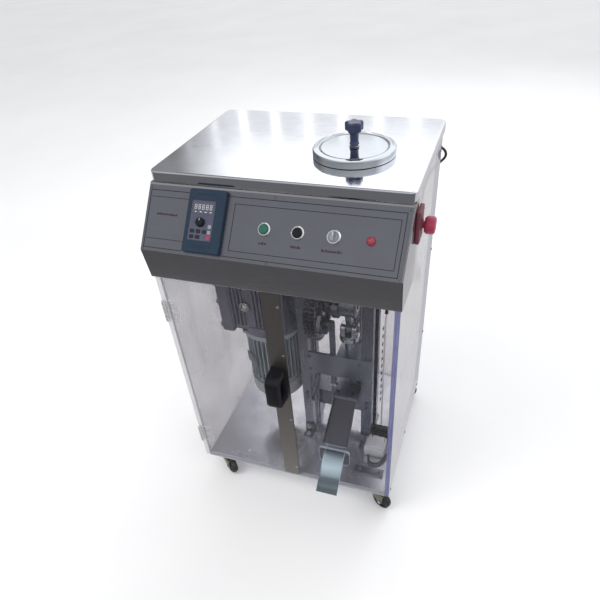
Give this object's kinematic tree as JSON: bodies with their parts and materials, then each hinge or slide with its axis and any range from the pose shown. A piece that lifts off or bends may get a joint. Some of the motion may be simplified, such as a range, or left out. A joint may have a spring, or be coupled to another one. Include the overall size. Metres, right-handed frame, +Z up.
{
  "type": "tablet press",
  "caption": "Single-punch tablet press in a clear acrylic cabinet on castors, with a sloped control console, a lidded powder hopper in the top cover and a discharge chute at the front.",
  "frame": {"origin": "centre of the bounding box at floor level, under the castor wheels", "axes": "+Z up, -Y towards the front with the console, door and chute, +X towards the side with the emergency stop"},
  "size_m": [0.517, 0.5158, 0.848],
  "materials": {
    "polished_steel": "polished stainless sheet",
    "brushed_steel": "fine brushed",
    "machined_steel": "machined, satin",
    "gear_steel": "machined, oiled",
    "chrome": "bright plated",
    "clear_acrylic": "clear, polished edges",
    "gearbox_paint": "satin",
    "motor_paint": "satin",
    "cowl_paint": "satin",
    "bearing_paint": "satin",
    "black_plastic": "fine grain",
    "grey_plastic": "satin",
    "blue_plastic": "fine grain",
    "navy_plastic": "moulded, half gloss",
    "green_plastic": "moulded, gloss",
    "red_plastic": "moulded, gloss",
    "dark_red_plastic": "moulded",
    "black_rubber": "matt",
    "zinc_plate": "dull yellow-grey zinc plate"
  },
  "bodies": {
    "cabinet": {"base_plate": "polished_steel", "left_side_panel": "clear_acrylic", "right_side_panel": "clear_acrylic", "rear_panel": "clear_acrylic", "front_window_panel": "clear_acrylic", "top_cover": "polished_steel", "console_shell": "polished_steel", "control_panel": "brushed_steel", "power_cable": "black_rubber", "inverter_housing": "blue_plastic", "start_bezel": "chrome", "stop_bezel": "chrome", "speed_bezel": "chrome", "power_lamp": "red_plastic", "estop_base": "dark_red_plastic", "hopper": "polished_steel", "gearbox": "gearbox_paint", "motor_body": "motor_paint", "motor_fan_cowl": "cowl_paint", "crank_bearing": "bearing_paint", "left_upright": "brushed_steel", "right_upright": "brushed_steel", "rear_frame": "brushed_steel", "upper_beam": "brushed_steel", "ram_guide": "machined_steel", "die_table": "machined_steel", "die": "gear_steel", "lower_crossbar": "brushed_steel", "discharge_chute": "polished_steel"},
    "door": {"door_panel": "clear_acrylic", "door_stile": "brushed_steel", "door_handle": "black_plastic", "door_hinge_upper": "clear_acrylic", "door_hinge_lower": "clear_acrylic"},
    "start_control": {"start_button": "green_plastic"},
    "stop_control": {"stop_button": "black_plastic"},
    "speed_control": {"speed_knob": "grey_plastic"},
    "inverter_control": {"inverter_dial": "black_plastic"},
    "estop_control": {"estop_head": "red_plastic"},
    "lid": {"hopper_lid": "polished_steel"},
    "lid_grip": {"lid_knob": "navy_plastic"},
    "crank": {"crank_shaft": "gear_steel", "drive_gear": "gear_steel"},
    "pinion_shaft": {"pinion": "gear_steel"},
    "ram_slide": {"ram": "polished_steel", "upper_punch": "gear_steel"},
    "rod": {"connecting_rod": "machined_steel"},
    "lower_tool": {"lower_punch": "gear_steel", "lift_rod": "machined_steel"},
    "roller": {"cam_roller": "navy_plastic"},
    "shoe": {"feed_shoe": "polished_steel"},
    "adjuster": {"adjuster_gear": "gear_steel"},
    "fork_front_left": {"castor_fork_front_left": "zinc_plate"},
    "wheel_front_left": {"castor_wheel_front_left": "black_rubber"},
    "fork_front_right": {"castor_fork_front_right": "zinc_plate"},
    "wheel_front_right": {"castor_wheel_front_right": "black_rubber"},
    "fork_rear_left": {"castor_fork_rear_left": "zinc_plate"},
    "wheel_rear_left": {"castor_wheel_rear_left": "black_rubber"},
    "fork_rear_right": {"castor_fork_rear_right": "zinc_plate"},
    "wheel_rear_right": {"castor_wheel_rear_right": "black_rubber"}
  },
  "joints": [
    {"name": "door_swing", "type": "hinge", "parent": "cabinet", "child": "door", "pos_m": [-0.24945, -0.19143, 0.15], "axis": [0, 0, -1], "range_deg": [0, 110]},
    {"name": "start_press", "type": "slide", "parent": "cabinet", "child": "start_control", "axis": [0, 0.7557, -0.6549], "range_m": [0, 0.0035]},
    {"name": "stop_press", "type": "slide", "parent": "cabinet", "child": "stop_control", "axis": [0, 0.7557, -0.6549], "range_m": [0, 0.0035]},
    {"name": "speed_turn", "type": "hinge", "parent": "cabinet", "child": "speed_control", "pos_m": [0.10305, -0.16259, 0.72376], "axis": [0, -0.7557, 0.6549], "range_deg": [-45, 45]},
    {"name": "inverter_dial_turn", "type": "hinge", "parent": "cabinet", "child": "inverter_control", "pos_m": [-0.13945, -0.16838, 0.72745], "axis": [0, -0.7557, 0.6549], "range_deg": [-150, 150]},
    {"name": "estop_press", "type": "slide", "parent": "cabinet", "child": "estop_control", "axis": [-1, 0, 0], "range_m": [0, 0.005]},
    {"name": "lid_lift", "type": "slide", "parent": "cabinet", "child": "lid", "axis": [0, 0, 1], "range_m": [0, 0.08]},
    {"name": "lid_knob_turn", "type": "hinge", "parent": "lid", "child": "lid_grip", "pos_m": [0.09005, 0.02257, 0.8063], "axis": [0, 0, 1], "range_deg": [-180, 180]},
    {"name": "crank_turn", "type": "hinge", "parent": "cabinet", "child": "crank", "pos_m": [-0.01495, -0.00843, 0.464], "axis": [1, 0, 0], "continuous": true},
    {"name": "pinion_turn", "type": "hinge", "parent": "cabinet", "child": "pinion_shaft", "pos_m": [0.00405, 0.09107, 0.464], "axis": [1, 0, 0], "continuous": true},
    {"name": "ram_stroke", "type": "slide", "parent": "cabinet", "child": "ram_slide", "axis": [0, 0, -1], "range_m": [0, 0.024]},
    {"name": "rod_swing", "type": "hinge", "parent": "ram_slide", "child": "rod", "pos_m": [0.08605, -0.00843, 0.408], "axis": [1, 0, 0], "range_deg": [-12, 12]},
    {"name": "lower_punch_stroke", "type": "slide", "parent": "cabinet", "child": "lower_tool", "axis": [0, 0, -1], "range_m": [-0.011, 0]},
    {"name": "cam_roller_turn", "type": "hinge", "parent": "lower_tool", "child": "roller", "pos_m": [0.03875, -0.03993, 0.42], "axis": [1, 0, 0], "continuous": true},
    {"name": "feed_shoe_stroke", "type": "slide", "parent": "cabinet", "child": "shoe", "axis": [0, 1, 0], "range_m": [-0.035, 0]},
    {"name": "fill_adjuster_turn", "type": "hinge", "parent": "cabinet", "child": "adjuster", "pos_m": [0.08605, -0.00843, 0.216], "axis": [0, 0, 1], "continuous": true},
    {"name": "castor_swivel_front_left", "type": "hinge", "parent": "cabinet", "child": "fork_front_left", "pos_m": [-0.21495, -0.16043, 0.062], "axis": [0, 0, 1], "continuous": true},
    {"name": "castor_wheel_turn_front_left", "type": "hinge", "parent": "fork_front_left", "child": "wheel_front_left", "pos_m": [-0.19529, -0.1742, 0.0235], "axis": [0.5736, 0.8192, 0], "continuous": true},
    {"name": "castor_swivel_front_right", "type": "hinge", "parent": "cabinet", "child": "fork_front_right", "pos_m": [0.18505, -0.16043, 0.062], "axis": [0, 0, 1], "continuous": true},
    {"name": "castor_wheel_turn_front_right", "type": "hinge", "parent": "fork_front_right", "child": "wheel_front_right", "pos_m": [0.2068, -0.17057, 0.0235], "axis": [0.4226, 0.9063, 0], "continuous": true},
    {"name": "castor_swivel_rear_left", "type": "hinge", "parent": "cabinet", "child": "fork_rear_left", "pos_m": [-0.21495, 0.19557, 0.062], "axis": [0, 0, 1], "continuous": true},
    {"name": "castor_wheel_turn_rear_left", "type": "hinge", "parent": "fork_rear_left", "child": "wheel_rear_left", "pos_m": [-0.23573, 0.20757, 0.0235], "axis": [-0.5, -0.866, 0], "continuous": true},
    {"name": "castor_swivel_rear_right", "type": "hinge", "parent": "cabinet", "child": "fork_rear_right", "pos_m": [0.18505, 0.19557, 0.062], "axis": [0, 0, 1], "continuous": true},
    {"name": "castor_wheel_turn_rear_right", "type": "hinge", "parent": "fork_rear_right", "child": "wheel_rear_right", "pos_m": [0.20344, 0.211, 0.0235], "axis": [-0.6428, 0.766, 0], "continuous": true}
  ],
  "couplings": [
    {"joint": "pinion_turn", "follows": "crank_turn", "ratio": -3.7143}
  ]
}
